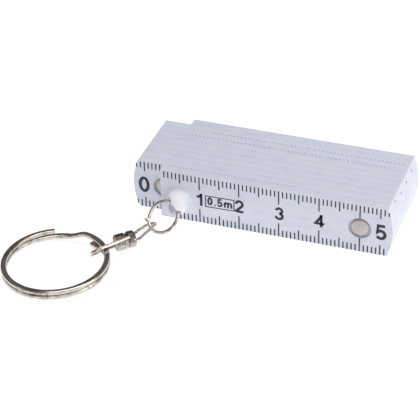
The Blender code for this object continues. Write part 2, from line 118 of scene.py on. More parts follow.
def bake(thing):
    """Replace the object's mesh with the one its modifiers make."""
    evaluated = thing.evaluated_get(bpy.context.evaluated_depsgraph_get())
    mesh = bpy.data.meshes.new_from_object(evaluated)
    thing.modifiers.clear()
    thing.data = mesh
    mesh.shade_smooth()
    mesh.set_sharp_from_angle(angle=math.radians(SHARP_ANGLE))


def carve(thing, cutter, operation="DIFFERENCE"):
    """Cut the cutter from the thing, or join it on, and remove the cutter."""
    cut = thing.modifiers.new("cut", "BOOLEAN")
    cut.operation = operation
    cut.solver = "EXACT"
    cut.object = cutter
    cut.material_mode = "TRANSFER"
    bake(thing)
    bpy.data.objects.remove(cutter)


def bridge(bm, first, second):
    """Join two rings of vertices with faces. Either ring may be a single vertex."""
    count = max(len(first), len(second))
    for k in range(count):
        n = (k + 1) % count
        if len(first) == 1:
            bm.faces.new((first[0], second[k], second[n]))
        elif len(second) == 1:
            bm.faces.new((first[k], second[0], first[n]))
        else:
            bm.faces.new((first[k], second[k], second[n], first[n]))


def turned(profile, steps=72, is_ring=False):
    """A profile of (radius, height) turned about the Y axis."""
    bm = bmesh.new()
    rings = []
    for radius, height in profile:
        if radius == 0:
            rings.append([bm.verts.new((0, height, 0))])
            continue
        ring = []
        for k in range(steps):
            angle = 2 * math.pi * k / steps
            spot = (radius * math.cos(angle), height, radius * math.sin(angle))
            ring.append(bm.verts.new(spot))
        rings.append(ring)
    for first, second in zip(rings, rings[1:]):
        bridge(bm, first, second)
    if is_ring:
        bridge(bm, rings[-1], rings[0])
    return bm


def eased(points, radius, steps=4, closed=False):
    """Round the corners of a flat outline or profile with short arcs."""
    result = []
    count = len(points)
    for k, point in enumerate(points):
        if not closed and k in (0, count - 1):
            result.append(tuple(point))
            continue
        here = Vector(point)
        before = Vector(points[k - 1]) - here
        after = Vector(points[(k + 1) % count]) - here
        reach = min(radius, before.length * CORNER_SHARE, after.length * CORNER_SHARE)
        start = here + before.normalized() * reach
        end = here + after.normalized() * reach
        for s in range(steps + 1):
            t = s / steps
            spot = start * (1 - t) ** 2 + here * (2 * t * (1 - t)) + end * t ** 2
            result.append(tuple(spot))
    return result


def swept(stations, section, round_tips=0.0):
    """A bar of one section through stations of (centre, first axis, second axis)."""
    bm = bmesh.new()
    rings = []

    def add_ring(centre, first, second, scale=1.0):
        spots = [centre + (first * a + second * b) * scale for a, b in section]
        rings.append([bm.verts.new(spot) for spot in spots])

    def tip(index, outwards):
        centre, first, second = stations[index]
        along = first.cross(second).normalized() * outwards
        rings_of_tip = []
        for angle in TIP_ANGLES:
            scale, rise = math.cos(math.radians(angle)), math.sin(math.radians(angle))
            rings_of_tip.append((centre + along * round_tips * rise, first, second, scale))
        return rings_of_tip

    if round_tips:
        for ring in tip(0, -1):
            add_ring(*ring)
    for station in stations:
        add_ring(*station)
    if round_tips:
        for ring in reversed(tip(-1, 1)):
            add_ring(*ring)
    for first, second in zip(rings, rings[1:]):
        bridge(bm, first, second)
    bm.faces.new(rings[0])
    bm.faces.new(rings[-1])
    return bm


def round_section(radius, sides=20):
    angles = [2 * math.pi * k / sides for k in range(sides)]
    return [(radius * math.cos(a), radius * math.sin(a)) for a in angles]


def rounded_section(width, height, radius, steps=4):
    w, h = width / 2, height / 2
    return eased([(w, h), (-w, h), (-w, -h), (w, -h)], radius, steps, closed=True)


def along_path(points, first_axis):
    """Stations for swept, with axes that don't twist."""
    stations = []
    carried = first_axis
    for k, point in enumerate(points):
        ahead = points[min(k + 1, len(points) - 1)]
        behind = points[max(k - 1, 0)]
        tangent = (ahead - behind).normalized()
        carried = (carried - tangent * carried.dot(tangent)).normalized()
        stations.append((point, carried, tangent.cross(carried)))
    return stations


def smooth_path(points):
    """Cut the corners of a path three times over, which keeps its ends."""
    for _ in range(3):
        finer = [points[0]]
        for a, b in zip(points, points[1:]):
            finer += [a * 0.75 + b * 0.25, a * 0.25 + b * 0.75]
        points = finer + [points[-1]]
    return points


# Materials


class Nodes:
    """Short calls for building a material's nodes."""

    def __init__(self, name):
        self.material = bpy.data.materials.new(name)
        self.material.use_nodes = True
        self.tree = self.material.node_tree
        self.shader = self.tree.nodes["Principled BSDF"]

    def add(self, kind, **settings):
        node = self.tree.nodes.new(kind)
        for key, value in settings.items():
            setattr(node, key, value)
        return node

    def link(self, source, target):
        self.tree.links.new(source, target)

    def set(self, **values):
        for key, value in values.items():
            label = "IOR" if key == "ior" else key.replace("_", " ").title()
            self.shader.inputs[label].default_value = value

    def place(self, scale=(1, 1, 1)):
        """Object coordinates in millimetres, stretched by scale."""
        coordinates = self.add("ShaderNodeTexCoord")
        mapping = self.add("ShaderNodeMapping")
        mapping.inputs["Scale"].default_value = tuple(1000 * s for s in scale)
        self.link(coordinates.outputs["Object"], mapping.inputs["Vector"])
        return mapping.outputs["Vector"]

    def noise(self, vector, scale, detail=3, roughness=0.55):
        node = self.add("ShaderNodeTexNoise")
        node.inputs["Scale"].default_value = scale
        node.inputs["Detail"].default_value = detail
        node.inputs["Roughness"].default_value = roughness
        self.link(vector, node.inputs["Vector"])
        return node.outputs["Fac"]

    def ramp(self, factor, low, high, start=0.35, end=0.65):
        node = self.add("ShaderNodeValToRGB")
        node.color_ramp.elements[0].position = start
        node.color_ramp.elements[1].position = end
        node.color_ramp.elements[0].color = (*low, 1)
        node.color_ramp.elements[1].color = (*high, 1)
        self.link(factor, node.inputs["Fac"])
        return node.outputs["Color"]

    def spread(self, factor, low, high, start=0.3, end=0.7):
        node = self.add("ShaderNodeMapRange")
        limits = {"From Min": start, "From Max": end, "To Min": low, "To Max": high}
        for key, value in limits.items():
            node.inputs[key].default_value = value
        self.link(factor, node.inputs["Value"])
        return node.outputs["Result"]

    def bump(self, height, distance, strength=1.0, normal=None):
        node = self.add("ShaderNodeBump")
        node.inputs["Distance"].default_value = distance
        node.inputs["Strength"].default_value = strength
        self.link(height, node.inputs["Height"])
        if normal:
            self.link(normal, node.inputs["Normal"])
        return node.outputs["Normal"]

    def sum(self, first, second):
        node = self.add("ShaderNodeMath", operation="ADD")
        self.link(first, node.inputs[0])
        self.link(second, node.inputs[1])
        return node.outputs[0]

    def into(self, output, socket):
        self.link(output, self.shader.inputs[socket])


def white_plastic(name, low, high):
    """Moulded bluish white plastic, with faint flow marks along the segment and a fine grain."""
    n = Nodes(name)
    n.set(ior=1.5, subsurface_weight=0.12, subsurface_scale=0.0006)
    flow = n.noise(n.place((0.10, 1.6, 1.0)), 0.9, 4)
    blotch = n.noise(n.place(), 0.22, 3)
    n.into(n.ramp(n.sum(flow, blotch), low, high, 0.75, 1.25), "Base Color")
    n.into(n.spread(n.noise(n.place(), 1.3, 4), 0.30, 0.46), "Roughness")
    grain = n.bump(n.noise(n.place(), 9, 2), 0.004 * MM, 0.6)
    n.into(n.bump(flow, 0.03 * MM, 0.35, grain), "Normal")
    return n.material


def black_ink():
    """Pad-printed black ink, thinner in places."""
    n = Nodes("black_ink")
    patch = n.noise(n.place(), 1.7, 5, 0.65)
    thick, thin = (0.013, 0.012, 0.028), (0.050, 0.048, 0.088)
    n.into(n.ramp(patch, thick, thin, 0.40, 0.75), "Base Color")
    n.into(n.spread(patch, 0.38, 0.60), "Roughness")
    n.into(n.bump(n.noise(n.place(), 12, 2), 0.003 * MM), "Normal")
    return n.material


def faded_ink():
    """Ink that has run over the segments' top edges, much fainter than on their faces."""
    n = Nodes("faded_ink")
    patch = n.noise(n.place(), 2.4, 4, 0.7)
    n.into(n.ramp(patch, (0.17, 0.18, 0.23), (0.52, 0.53, 0.60), 0.38, 0.66), "Base Color")
    n.into(n.spread(patch, 0.4, 0.6), "Roughness")
    return n.material


def rivet_metal():
    """A flat nickel-plated head with a fine grain from its tumbling and a few light scratches."""
    n = Nodes("rivet_metal")
    n.set(metallic=1.0)
    tone = n.noise(n.place((1, 1, 0.6)), 0.45, 3)
    n.into(n.ramp(tone, (0.47, 0.42, 0.405), (0.585, 0.535, 0.51)), "Base Color")
    scratch = n.noise(n.place((0.5, 1, 7)), 1.4, 5, 0.7)
    n.into(n.spread(scratch, 0.34, 0.52), "Roughness")
    grain = n.bump(n.noise(n.place(), 14, 2), 0.003 * MM)
    n.into(n.bump(scratch, 0.010 * MM, 0.5, grain), "Normal")
    return n.material


def bright_nickel(name, base, tint, rough_low, rough_high):
    """Nickel plate over drawn wire, slightly uneven, with rougher, darker patches of wear."""
    n = Nodes(name)
    n.set(metallic=1.0)
    wear = n.noise(n.place(), 0.8, 5, 0.62)
    stain = n.noise(n.place(), 0.17, 2)
    n.into(n.ramp(n.sum(wear, stain), tint, base, 0.82, 1.08), "Base Color")
    n.into(n.spread(wear, rough_high, rough_low), "Roughness")
    fine = n.bump(n.noise(n.place(), 6, 3), 0.006 * MM)
    n.into(n.bump(n.noise(n.place(), 0.9, 2), 0.03 * MM, 0.6, fine), "Normal")
    return n.material


# How fast painted shade darkens the swivel's plate with height, per millimetre.
PAINTED_DARK_TOP_PER_MM = 0.16


def nickel_with_painted_dark_top():
    """The swivel's plate: dull and speckled with wear, and darkened towards its upper side by
    painted shade that stands in for the reflection seen there.
    """
    n = Nodes("swivel_nickel")
    n.set(metallic=1.0)
    place = n.place()
    speck = n.noise(place, 2.6, 4, 0.65)
    height = n.add("ShaderNodeSeparateXYZ")
    n.link(place, height.inputs["Vector"])
    # Painted shade: the tone darkens with height in place of the dark reflection on the upper
    # side; the specks are wear.
    painted_top_shade = n.add("ShaderNodeMath", operation="MULTIPLY_ADD")
    painted_top_shade.inputs[1].default_value = PAINTED_DARK_TOP_PER_MM
    n.link(height.outputs["Z"], painted_top_shade.inputs[0])
    n.link(speck, painted_top_shade.inputs[2])
    unshaded_plate, dark = (0.56, 0.515, 0.485), (0.135, 0.108, 0.094)
    n.into(n.ramp(painted_top_shade.outputs[0], unshaded_plate, dark, 0.84, 1.04), "Base Color")
    n.into(n.spread(speck, 0.30, 0.48), "Roughness")
    fine = n.bump(n.noise(place, 6, 3), 0.006 * MM)
    n.into(n.bump(n.noise(place, 2.8, 2), 0.07 * MM, 0.6, fine), "Normal")
    return n.material


def spring_steel():
    """Plain rolled steel of the hidden washers and the collar."""
    n = Nodes("spring_steel")
    n.set(metallic=1.0)
    grain = n.noise(n.place((5, 1, 5)), 1.2, 4)
    n.into(n.ramp(grain, (0.30, 0.30, 0.31), (0.50, 0.50, 0.51)), "Base Color")
    n.into(n.spread(grain, 0.32, 0.5), "Roughness")
    n.into(n.bump(grain, 0.01 * MM, 0.5), "Normal")
    return n.material


# Painted shade: the rivet recesses get a plastic darker than the faces'. Painted light: the lug
# gets a lighter one.
PLASTIC = white_plastic("white_plastic", (0.712, 0.730, 0.845), (0.772, 0.790, 0.890))
PAINTED_SHADE_RECESS_PLASTIC = white_plastic("painted_shade_recess_plastic", (0.62, 0.63, 0.735), (0.67, 0.68, 0.775))
PAINTED_LIGHT_LUG_PLASTIC = white_plastic("painted_light_lug_plastic", (0.88, 0.885, 0.955), (0.94, 0.94, 0.985))
INK = black_ink()
FADED = faded_ink()
RIVET = rivet_metal()
NICKEL = bright_nickel("nickel_wire", (0.64, 0.60, 0.555), (0.40, 0.345, 0.29), 0.08, 0.22)
# A darker copy of the wire nickel for the jump ring and the link: painted shade for the dark edges
# they show.
SHADED_LOOP_WIRE = bright_nickel(
    "painted_shade_nickel_wire", (0.70, 0.645, 0.60), (0.42, 0.37, 0.33), 0.12, 0.28
)
WIRE = bright_nickel(
    "bright_nickel_wire", (0.86, 0.81, 0.765), (0.62, 0.56, 0.515), 0.12, 0.26
)
SWIVEL = nickel_with_painted_dark_top()
STEEL = spring_steel()


# The segments

CORNER_ROUND = 0.10 * MM
PLATE_EDGE = 0.09 * MM
# A quarter circle of (inset from the outline, drop from the face), as shares of the edge's radius
EDGE_ROUND = ((1, 0), (0.55, 0.09), (0.29, 0.29), (0.09, 0.55), (0, 1))
DRILL_EASE = 0.10 * MM


def pivot_x(hinge):
    return PITCH / 2 if hinge % 2 else -PITCH / 2


def layer_y(segment):
    return (segment - 1) * LAYER


def end_arc(steps=36):
    centre_x = PITCH / 2 + END_REACH - END_RADIUS
    half_angle = math.asin(WIDTH / 2 / END_RADIUS)
    points = []
    for k in range(steps + 1):
        angle = half_angle * (2 * k / steps - 1)
        x = centre_x + END_RADIUS * math.cos(angle)
        points.append((x, PIVOT_Z + END_RADIUS * math.sin(angle)))
    return points


def segment_outline(segment):
    """The outline in (x, z). The first and the last segment end square at a pivot's place."""
    if segment in (1, SEGMENTS):
        left = [(PITCH / 2, 0), (PITCH / 2, WIDTH)]
    else:
        left = end_arc()
    points = end_arc() + [(-x, z) for x, z in reversed(left)]
    return eased(points, CORNER_ROUND, 3, closed=True)


def plate(outline, y):
    """An outline in X and Z given the segment's thickness, with softly rounded edges."""
    bm = bmesh.new()
    half = THICKNESS / 2
    levels = [(PLATE_EDGE * inset, half - PLATE_EDGE * drop) for inset, drop in EDGE_ROUND]
    levels += [(inset, -depth) for inset, depth in reversed(levels)]
    x_low, x_high = min(x for x, z in outline), max(x for x, z in outline)
    middle_x = (x_low + x_high) / 2
    rings = []
    for inset, depth in levels:
        scale_x = 1 - 2 * inset / (x_high - x_low)
        scale_z = 1 - 2 * inset / WIDTH
        ring = []
        for x, z in outline:
            spot_x = middle_x + (x - middle_x) * scale_x
            spot_z = PIVOT_Z + (z - PIVOT_Z) * scale_z
            ring.append(bm.verts.new((spot_x, y + depth, spot_z)))
        rings.append(ring)
    for first, second in zip(rings, rings[1:]):
        bridge(bm, first, second)
    bm.faces.new(rings[0])
    bm.faces.new(rings[-1])
    return bm


def pivot_drill(x, y, depth, from_front):
    """A stepped drill with a small ease at the counterbore's mouth."""
    face = THICKNESS / 2
    step = CAD_THICKNESS / 2 - depth
    profile = [
        (0, -face - MM),
        (COUNTERBORE_RADIUS + DRILL_EASE, -face - MM),
        (COUNTERBORE_RADIUS + DRILL_EASE, -face),
        (COUNTERBORE_RADIUS, -face + DRILL_EASE),
        (COUNTERBORE_RADIUS, -step),
        (BORE_RADIUS, -step),
        (BORE_RADIUS, face + MM),
        (0, face + MM),
    ]
    if not from_front:
        profile = [(radius, -height) for radius, height in profile]
    # The drill lays the darker recess plastic on the walls it cuts: painted shade in the recess.
    return new_object("drill", turned(profile), PAINTED_SHADE_RECESS_PLASTIC, Vector((x, y, PIVOT_Z)))


def make_segment(segment):
    y = layer_y(segment)
    name = f"rule_segment_{segment:02d}"
    body = new_object(name, plate(segment_outline(segment), y), PLASTIC, sharp=30)
    if segment < SEGMENTS:
        carve(body, pivot_drill(pivot_x(segment), y, HEAD_DEPTH, True))
    if segment > 1:
        carve(body, pivot_drill(pivot_x(segment - 1), y, TAIL_DEPTH, False))
    return body


# The lug and the jump ring

LUG_RADIUS = 2.85 * MM
LUG_STRAIGHT = 2.0 * MM
LUG_REACH = 5.2 * MM
LUG_FILLET = 0.20 * MM
JUMP_RADIUS = 4.05 * MM
JUMP_WIRE = 0.42 * MM
JUMP_TURN = -24.8
JUMP_LEAN = 46.4
JUMP_FROM_LUG = Vector((-2.59, -4.87, -2.69)) * MM
JUMP_OPENING_ANGLE = 29.0
JUMP_OPENING = 0.5
JUMP_FLARE = 1.0 * MM
JUMP_FLARE_ANGLE = 23.0
TUNNEL_RADIUS = 0.52 * MM
TUNNEL_MIDDLE = -115.0
TUNNEL_HALF_ANGLE = 60.0
TUNNEL_SWING = 50.0
TUNNEL_LEAN_HIGH = 0.5
TUNNEL_LEAN_LOW = -0.3
SCOOP_ANGLE = -77.0
SCOOP_RADIUS = 2.4 * MM
SCOOP_LIFT = 1.9 * MM
DISH_FROM_LUG = Vector((-1.9, -7.4, -1.1)) * MM
# The CAD's is 3.80, at which the exact boolean here collapses the segment.
DISH_RADIUS = 3.85 * MM
LUG_SINK = 0.8 * MM
BALL_STEPS = (16, 10)


def jump_ring_axes():
    turn, lean = math.radians(JUMP_TURN), math.radians(JUMP_LEAN)
    flat = math.cos(lean)
    normal = Vector((math.sin(turn) * flat, -math.cos(turn) * flat, math.sin(lean)))
    level = normal.cross(UP).normalized()
    return axes(level, normal.cross(level), normal)


def jump_ring_centre():
    return LUG + JUMP_FROM_LUG


def circle_stations(radius, first_angle, last_angle, steps, flare=lambda angle: 0):
    stations = []
    for k in range(steps + 1):
        angle = math.radians(first_angle + (last_angle - first_angle) * k / steps)
        outward = Vector((math.cos(angle), math.sin(angle), 0))
        stations.append((outward * (radius + flare(math.degrees(angle))), outward, UP))
    return stations


def add_lug(body):
    """A round-ended boss with a fillet at its root and a flared tunnel for the jump ring. A
    scoop and a wide dish hollow its front where the ring comes out."""
    face = CAD_THICKNESS / 2 - THICKNESS / 2
    root = LUG_RADIUS + LUG_FILLET
    profile = [(0, LUG_SINK), (root, LUG_SINK), (root, face + 0.02 * MM)]
    for angle in (70, 50, 30, 12):
        a = math.radians(angle)
        radius = LUG_RADIUS + LUG_FILLET * (1 - math.cos(a))
        profile.append((radius, face - LUG_FILLET * (1 - math.sin(a))))
    profile.append((LUG_RADIUS, face - LUG_FILLET - 0.05 * MM))
    steps = 22
    for k in range(steps + 1):
        angle = math.pi / 2 * k / steps
        radius = LUG_RADIUS * math.cos(angle) if k < steps else 0
        profile.append((radius, -LUG_STRAIGHT - (LUG_REACH - LUG_STRAIGHT) * math.sin(angle)))
    # The boss takes the lighter lug plastic: painted light where the lamp from the right falls on
    # it.
    carve(body, new_object("boss", turned(profile, 96), PAINTED_LIGHT_LUG_PLASTIC, LUG), "UNION")
    first, last = TUNNEL_MIDDLE - TUNNEL_HALF_ANGLE, TUNNEL_MIDDLE + TUNNEL_HALF_ANGLE
    opening = 2 * JUMP_RADIUS * math.sin(math.radians(TUNNEL_SWING / 2))
    off_face = jump_ring_axes().transposed() @ -ACROSS
    stations = []
    steps = 48
    for k, (centre, outward, aside) in enumerate(circle_stations(JUMP_RADIUS, first, last, steps)):
        off_middle = math.radians(TUNNEL_HALF_ANGLE) * (2 * k / steps - 1)
        growth = opening * (1 - math.cos(off_middle))
        radius = TUNNEL_RADIUS + growth
        lean = TUNNEL_LEAN_HIGH if off_middle > 0 else TUNNEL_LEAN_LOW
        stations.append((centre + off_face * growth * lean, outward * radius, aside * radius))
    tunnel = swept(stations, round_section(1, 40))
    carve(body, new_object("tunnel", tunnel, PLASTIC, jump_ring_centre(), jump_ring_axes()))
    angle = math.radians(SCOOP_ANGLE)
    on_wire = jump_ring_axes() @ Vector((math.cos(angle), math.sin(angle), 0)) * JUMP_RADIUS
    scoop_centre = jump_ring_centre() + on_wire - ACROSS * SCOOP_LIFT
    hollows = ((SCOOP_RADIUS, scoop_centre, 4), (DISH_RADIUS, LUG + DISH_FROM_LUG, 6))
    for radius, place, fineness in hollows:
        ball = bmesh.new()
        u_steps, v_steps = (fineness * count for count in BALL_STEPS)
        bmesh.ops.create_uvsphere(ball, u_segments=u_steps, v_segments=v_steps, radius=radius)
        carve(body, new_object("hollow", ball, PLASTIC, place))


def make_jump_ring():
    def flare(angle):
        share = (JUMP_OPENING_ANGLE + JUMP_FLARE_ANGLE - angle) / JUMP_FLARE_ANGLE
        return JUMP_FLARE * max(0, share) ** 2

    last = JUMP_OPENING_ANGLE + 360 - JUMP_OPENING
    stations = circle_stations(JUMP_RADIUS, JUMP_OPENING_ANGLE, last, 200, flare)
    ring = swept(stations, round_section(JUMP_WIRE), 0.12 * MM)
    piece = new_object("wire_jump_ring", ring, SHADED_LOOP_WIRE, jump_ring_centre(), jump_ring_axes())
    replace_node(piece, "jump_ring", "jump_ring_body")


# The rivets

# The CAD's is 2.15.
HEAD_RADIUS = 2.18 * MM
HEAD_FLAT = 2.02 * MM
HEAD_THICKNESS = 0.45 * MM
HEAD_RECESS = 0.10 * MM
TAIL_RADIUS = 2.10 * MM
SHANK_RADIUS = 1.40 * MM
HEAD_DROP = 0.16 * MM


def make_rivet(hinge):
    start = -CAD_THICKNESS / 2 + HEAD_RECESS
    end = LAYER + CAD_THICKNESS / 2 - HEAD_RECESS
    profile = [
        (0, start),
        (HEAD_FLAT - 0.25 * MM, start),
        (HEAD_FLAT, start + 0.015 * MM),
        (HEAD_RADIUS - 0.06 * MM, start + HEAD_DROP * 0.55),
        (HEAD_RADIUS, start + HEAD_DROP),
        (HEAD_RADIUS, start + HEAD_THICKNESS),
        (SHANK_RADIUS, start + HEAD_THICKNESS),
        (SHANK_RADIUS, end - HEAD_THICKNESS),
        (TAIL_RADIUS, end - HEAD_THICKNESS),
        (TAIL_RADIUS, end - 0.14 * MM),
        (TAIL_RADIUS - 0.12 * MM, end - 0.02 * MM),
        (TAIL_RADIUS - 0.40 * MM, end),
        (0.55 * MM, end),
        (0.35 * MM, end - 0.10 * MM),
        (0, end - 0.16 * MM),
    ]
    place = Vector((pivot_x(hinge), layer_y(hinge), PIVOT_Z))
    piece = new_object(f"riveted_pin_{hinge:02d}", turned(profile), RIVET, place)
    replace_node(piece, f"rivet_{hinge:02d}", body_of_segment(hinge))


# The printed scale

TICK_WIDTH = 0.33 * MM
TICK_SHORT = 2.0 * MM
TICK_HALF = 2.9 * MM
TICK_LONG = 3.95 * MM
STROKE = 0.195
NUMBER_Z = 6.70 * MM
NUMBER_HEIGHT = 3.52 * MM
NUMBER_PITCH = 2.40 * MM
# The framed "0.5m" on the first segment, in millimetres from the zero mark and the lower edge
LENGTH_BOX = ((11.54, 8.10), (18.79, 8.18), (18.79, 5.12), (11.54, 5.02), (11.54, 8.10))
LENGTH_BOX_LINE = 0.27 * MM
LENGTH_LABEL = (("0", 12.66, 0.88), (".", 13.98, 1), ("5", 15.14, 0.90), ("m", 17.28, 1.22))
LENGTH_LABEL_Z = 6.72 * MM
LENGTH_LABEL_HEIGHT = 2.15 * MM
LENGTH_LABEL_STROKE = 0.235
# Ink over the top edges: (segment, first mark, mark after the last, reach in millimetres)
EDGE_MARKS = ((2, 2, 34, 0.20), (8, 2, 52, 0.36), (9, 6, 56, 0.34))
# Ink round the rounded ends: (segment, millimetres below the top)
END_MARKS = ((3, 0.6), (5, 1.3), (7, 1.3), (9, 1.0))


def arc(cx, cy, rx, ry, start, end, steps=18):
    points = []
    for k in range(steps + 1):
        angle = math.radians(start + (end - start) * k / steps)
        points.append((cx + rx * math.cos(angle), cy + ry * math.sin(angle)))
    return points


def digit_strokes(character):
    """Centre lines of a bold digit or letter, one unit high."""
    if character == "0":
        return [arc(0, 0.5, 0.235, 0.425, 90, 450, 32)]
    if character == "1":
        return [[(0.08, 0), (0.08, 1)], [(0.09, 0.90), (-0.04, 0.76), (-0.24, 0.70)]]
    if character == "2":
        bowl = arc(0, 0.69, 0.225, 0.235, 182, -38)
        return [bowl + [(-0.22, 0.11), (-0.14, 0.085), (0.29, 0.085)]]
    if character == "3":
        upper = arc(0, 0.715, 0.20, 0.205, 172, -75)
        lower = arc(0, 0.29, 0.235, 0.215, 85, -176)
        return [upper + [(0.0, 0.51)], lower]
    if character == "4":
        return [[(0.16, 0.93), (-0.27, 0.28), (0.34, 0.28)], [(0.12, 0), (0.12, 1)]]
    if character == "5":
        bowl = arc(0, 0.33, 0.245, 0.255, 145, -150)
        return [[(0.24, 0.925), (-0.15, 0.925)] + bowl]
    if character == "6":
        bowl = arc(0, 0.32, 0.235, 0.245, 180, -180, 28)
        return [bowl + arc(0.06, 0.50, 0.295, 0.425, 180, 62)]
    if character == "7":
        return [[(-0.25, 0.925), (0.24, 0.925), (0.05, 0.50), (-0.06, 0)]]
    if character == "8":
        upper = arc(0, 0.72, 0.195, 0.205, 90, 450, 28)
        return [upper, arc(0, 0.29, 0.235, 0.215, 90, 450, 28)]
    if character == "9":
        return [[(-x, 1 - y) for x, y in digit_strokes("6")[0]]]
    if character == ".":
        return [[(0, 0), (0, 0.15)]]
    if character == "m":
        first = arc(-0.16, 0.46, 0.16, 0.17, 180, 0, 10)
        second = arc(0.16, 0.46, 0.16, 0.17, 180, 0, 10)
        return [[(-0.32, 0), (-0.32, 0.66)], first + [(0, 0)], second + [(0.32, 0)]]
    return []


class Print:
    """Flat ink on a plane. Positions are (along, height) on the face, in metres."""

    def __init__(self, to_world):
        self.bm = bmesh.new()
        self.to_world = to_world

    def strip(self, points, width):
        """A line of constant width through points, with mitred corners and square ends."""
        spots = [Vector(point) for point in points]
        count = len(spots)
        closed = (spots[0] - spots[-1]).length < 1e-7
        left, right = [], []
        for k, here in enumerate(spots):
            before = spots[k - 1] if k else spots[-2] if closed else None
            after = spots[k + 1] if k + 1 < count else spots[1] if closed else None
            into = (here - before if before is not None else after - here).normalized()
            out = (after - here).normalized() if after is not None else into
            normal_in, normal_out = Vector((-into.y, into.x)), Vector((-out.y, out.x))
            normal = (normal_in + normal_out).normalized()
            reach = width / 2 / max(0.45, normal.dot(normal_in))
            left.append(self.bm.verts.new(self.to_world(here + normal * reach)))
            right.append(self.bm.verts.new(self.to_world(here - normal * reach)))
        for k in range(count - 1):
            self.bm.faces.new((left[k], right[k], right[k + 1], left[k + 1]))

    def line(self, start, end, width):
        self.strip([start, end], width)

    def glyph(self, character, centre, height, stroke=STROKE, narrow=1.0, flipped=False):
        """Narrow is the width's share of the usual one."""
        turn = -1 if flipped else 1
        for path in digit_strokes(character):
            points = []
            for x, y in path:
                across = centre[0] + turn * x * height * narrow
                points.append((across, centre[1] + turn * (y - 0.5) * height))
            self.strip(points, stroke * height)

    def text(self, characters, centre, height, pitch, stroke=STROKE, narrow=1.0, flipped=False):
        turn = -1 if flipped else 1
        for k, character in enumerate(characters):
            offset = turn * (k - (len(characters) - 1) / 2) * pitch
            spot = (centre[0] + offset, centre[1])
            self.glyph(character, spot, height, stroke, narrow, flipped)

    def finish(self, name, body, material):
        piece = new_object(name, self.bm, material, is_solid=False)
        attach(piece, body)
        return piece


def face_of(segment):
    """The front face's (along from the zero mark, height), in metres, to world."""
    y = layer_y(segment) - THICKNESS / 2 - INK_LIFT
    return lambda p: Vector((p[0] - PITCH / 2, y, p[1]))


def end_height(x):
    """How far from the long edges the face ends, at x from the zero mark beyond a pivot."""
    beyond = x - PITCH if x > PITCH / 2 else -x
    centre = END_REACH - END_RADIUS
    if beyond < centre + math.sqrt(END_RADIUS ** 2 - PIVOT_Z ** 2):
        return 0.0
    room = END_RADIUS ** 2 - (beyond - centre) ** 2
    return PIVOT_Z - math.sqrt(max(0, room))


def print_ticks(ink, segment):
    """Millimetre ticks on both edges, longer at each fifth and tenth, short of the rivets."""
    first = 1 if segment in (1, SEGMENTS) else -7
    last = 57 if segment == 1 else 56
    for mark in range(first, last + 1):
        x = mark * MM
        unit = abs(mark) % 10
        length = TICK_LONG if unit == 0 else TICK_HALF if unit == 5 else TICK_SHORT
        if mark in (0, 50):
            length = min(length, PIVOT_Z - COUNTERBORE_RADIUS - 0.1 * MM)
        cut = end_height(x)
        low, high = max(0.12 * MM, cut), WIDTH - max(0.25 * MM, cut)
        if segment > 1 or 5 <= mark < 57:
            ink.line((x, low), (x, length), TICK_WIDTH)
        ink.line((x, WIDTH - length), (x, high), TICK_WIDTH)


def print_numbers(ink, segment):
    """The centimetres, upright on every segment of the opened rule. The last segment ends at
    its own last number, so that isn't printed."""
    flipped = segment % 2 == 0
    for step in (1, 2, 3, 4):
        x = (PITCH / MM - 10 * step if flipped else 10 * step) + (0.22 if flipped else 0.14)
        number = str(5 * (segment - 1) + step)
        ink.text(number, (x * MM, NUMBER_Z), NUMBER_HEIGHT, NUMBER_PITCH, flipped=flipped)
    if segment == 1:
        ink.text("5", (55.12 * MM, 6.55 * MM), 4.15 * MM, 2.0 * MM, 0.195)
    elif segment == 2:
        ink.text("0", (-5.25 * MM, 6.55 * MM), 4.35 * MM, 2.0 * MM, 0.188)
    elif segment < SEGMENTS:
        x = -5.15 * MM if flipped else 55.15 * MM
        number = str(5 * segment)
        ink.text(number, (x, 6.6 * MM), 3.3 * MM, 2.05 * MM, 0.165, 0.85, flipped)


def print_segment(segment):
    ink = Print(face_of(segment))
    print_ticks(ink, segment)
    print_numbers(ink, segment)
    if segment == 1:
        ink.strip([(x * MM, z * MM) for x, z in LENGTH_BOX], LENGTH_BOX_LINE)
        for character, x, narrow in LENGTH_LABEL:
            spot = (x * MM, LENGTH_LABEL_Z)
            ink.glyph(character, spot, LENGTH_LABEL_HEIGHT, LENGTH_LABEL_STROKE, narrow)
    piece = ink.finish(f"printed_scale_{segment:02d}", body_of_segment(segment), INK)


def print_edge_marks(segment, first, end, reach):
    """The ends of the ticks that show as dots on the segment's top edge."""
    z = WIDTH + INK_LIFT
    y = layer_y(segment) - THICKNESS / 2 + 0.09 * MM
    ink = Print(lambda p: Vector((p[0] - PITCH / 2, y + p[1], z)))
    for mark in range(first, end):
        shift = 0.04 * math.sin(7.3 * mark + segment)
        x = (mark + shift) * MM
        length = reach * (0.75 + 0.25 * math.sin(2.9 * mark))
        ink.line((x, 0), (x, length), 0.34 * MM)
    ink.finish(f"edge_marks_{segment:02d}", body_of_segment(segment), FADED)


def print_end_mark(segment, depth):
    """A speck of ink that has run round the front edge of the segment's rounded end."""
    def on_end(point):
        z = WIDTH - depth - point[1]
        bulge = math.sqrt(END_RADIUS ** 2 - (z - PIVOT_Z) ** 2)
        x = PITCH / 2 + END_REACH - END_RADIUS + bulge + INK_LIFT
        return Vector((x, layer_y(segment) - THICKNESS / 2 + 0.10 * MM + point[0], z))

    ink = Print(on_end)
    ink.strip([(0.02 * MM, 0), (0.10 * MM, 0.25 * MM), (0.05 * MM, 0.50 * MM)], 0.38 * MM)
    ink.finish(f"end_mark_{segment:02d}", body_of_segment(segment), INK)


# The swivel, its wire link, the strap and the split ring

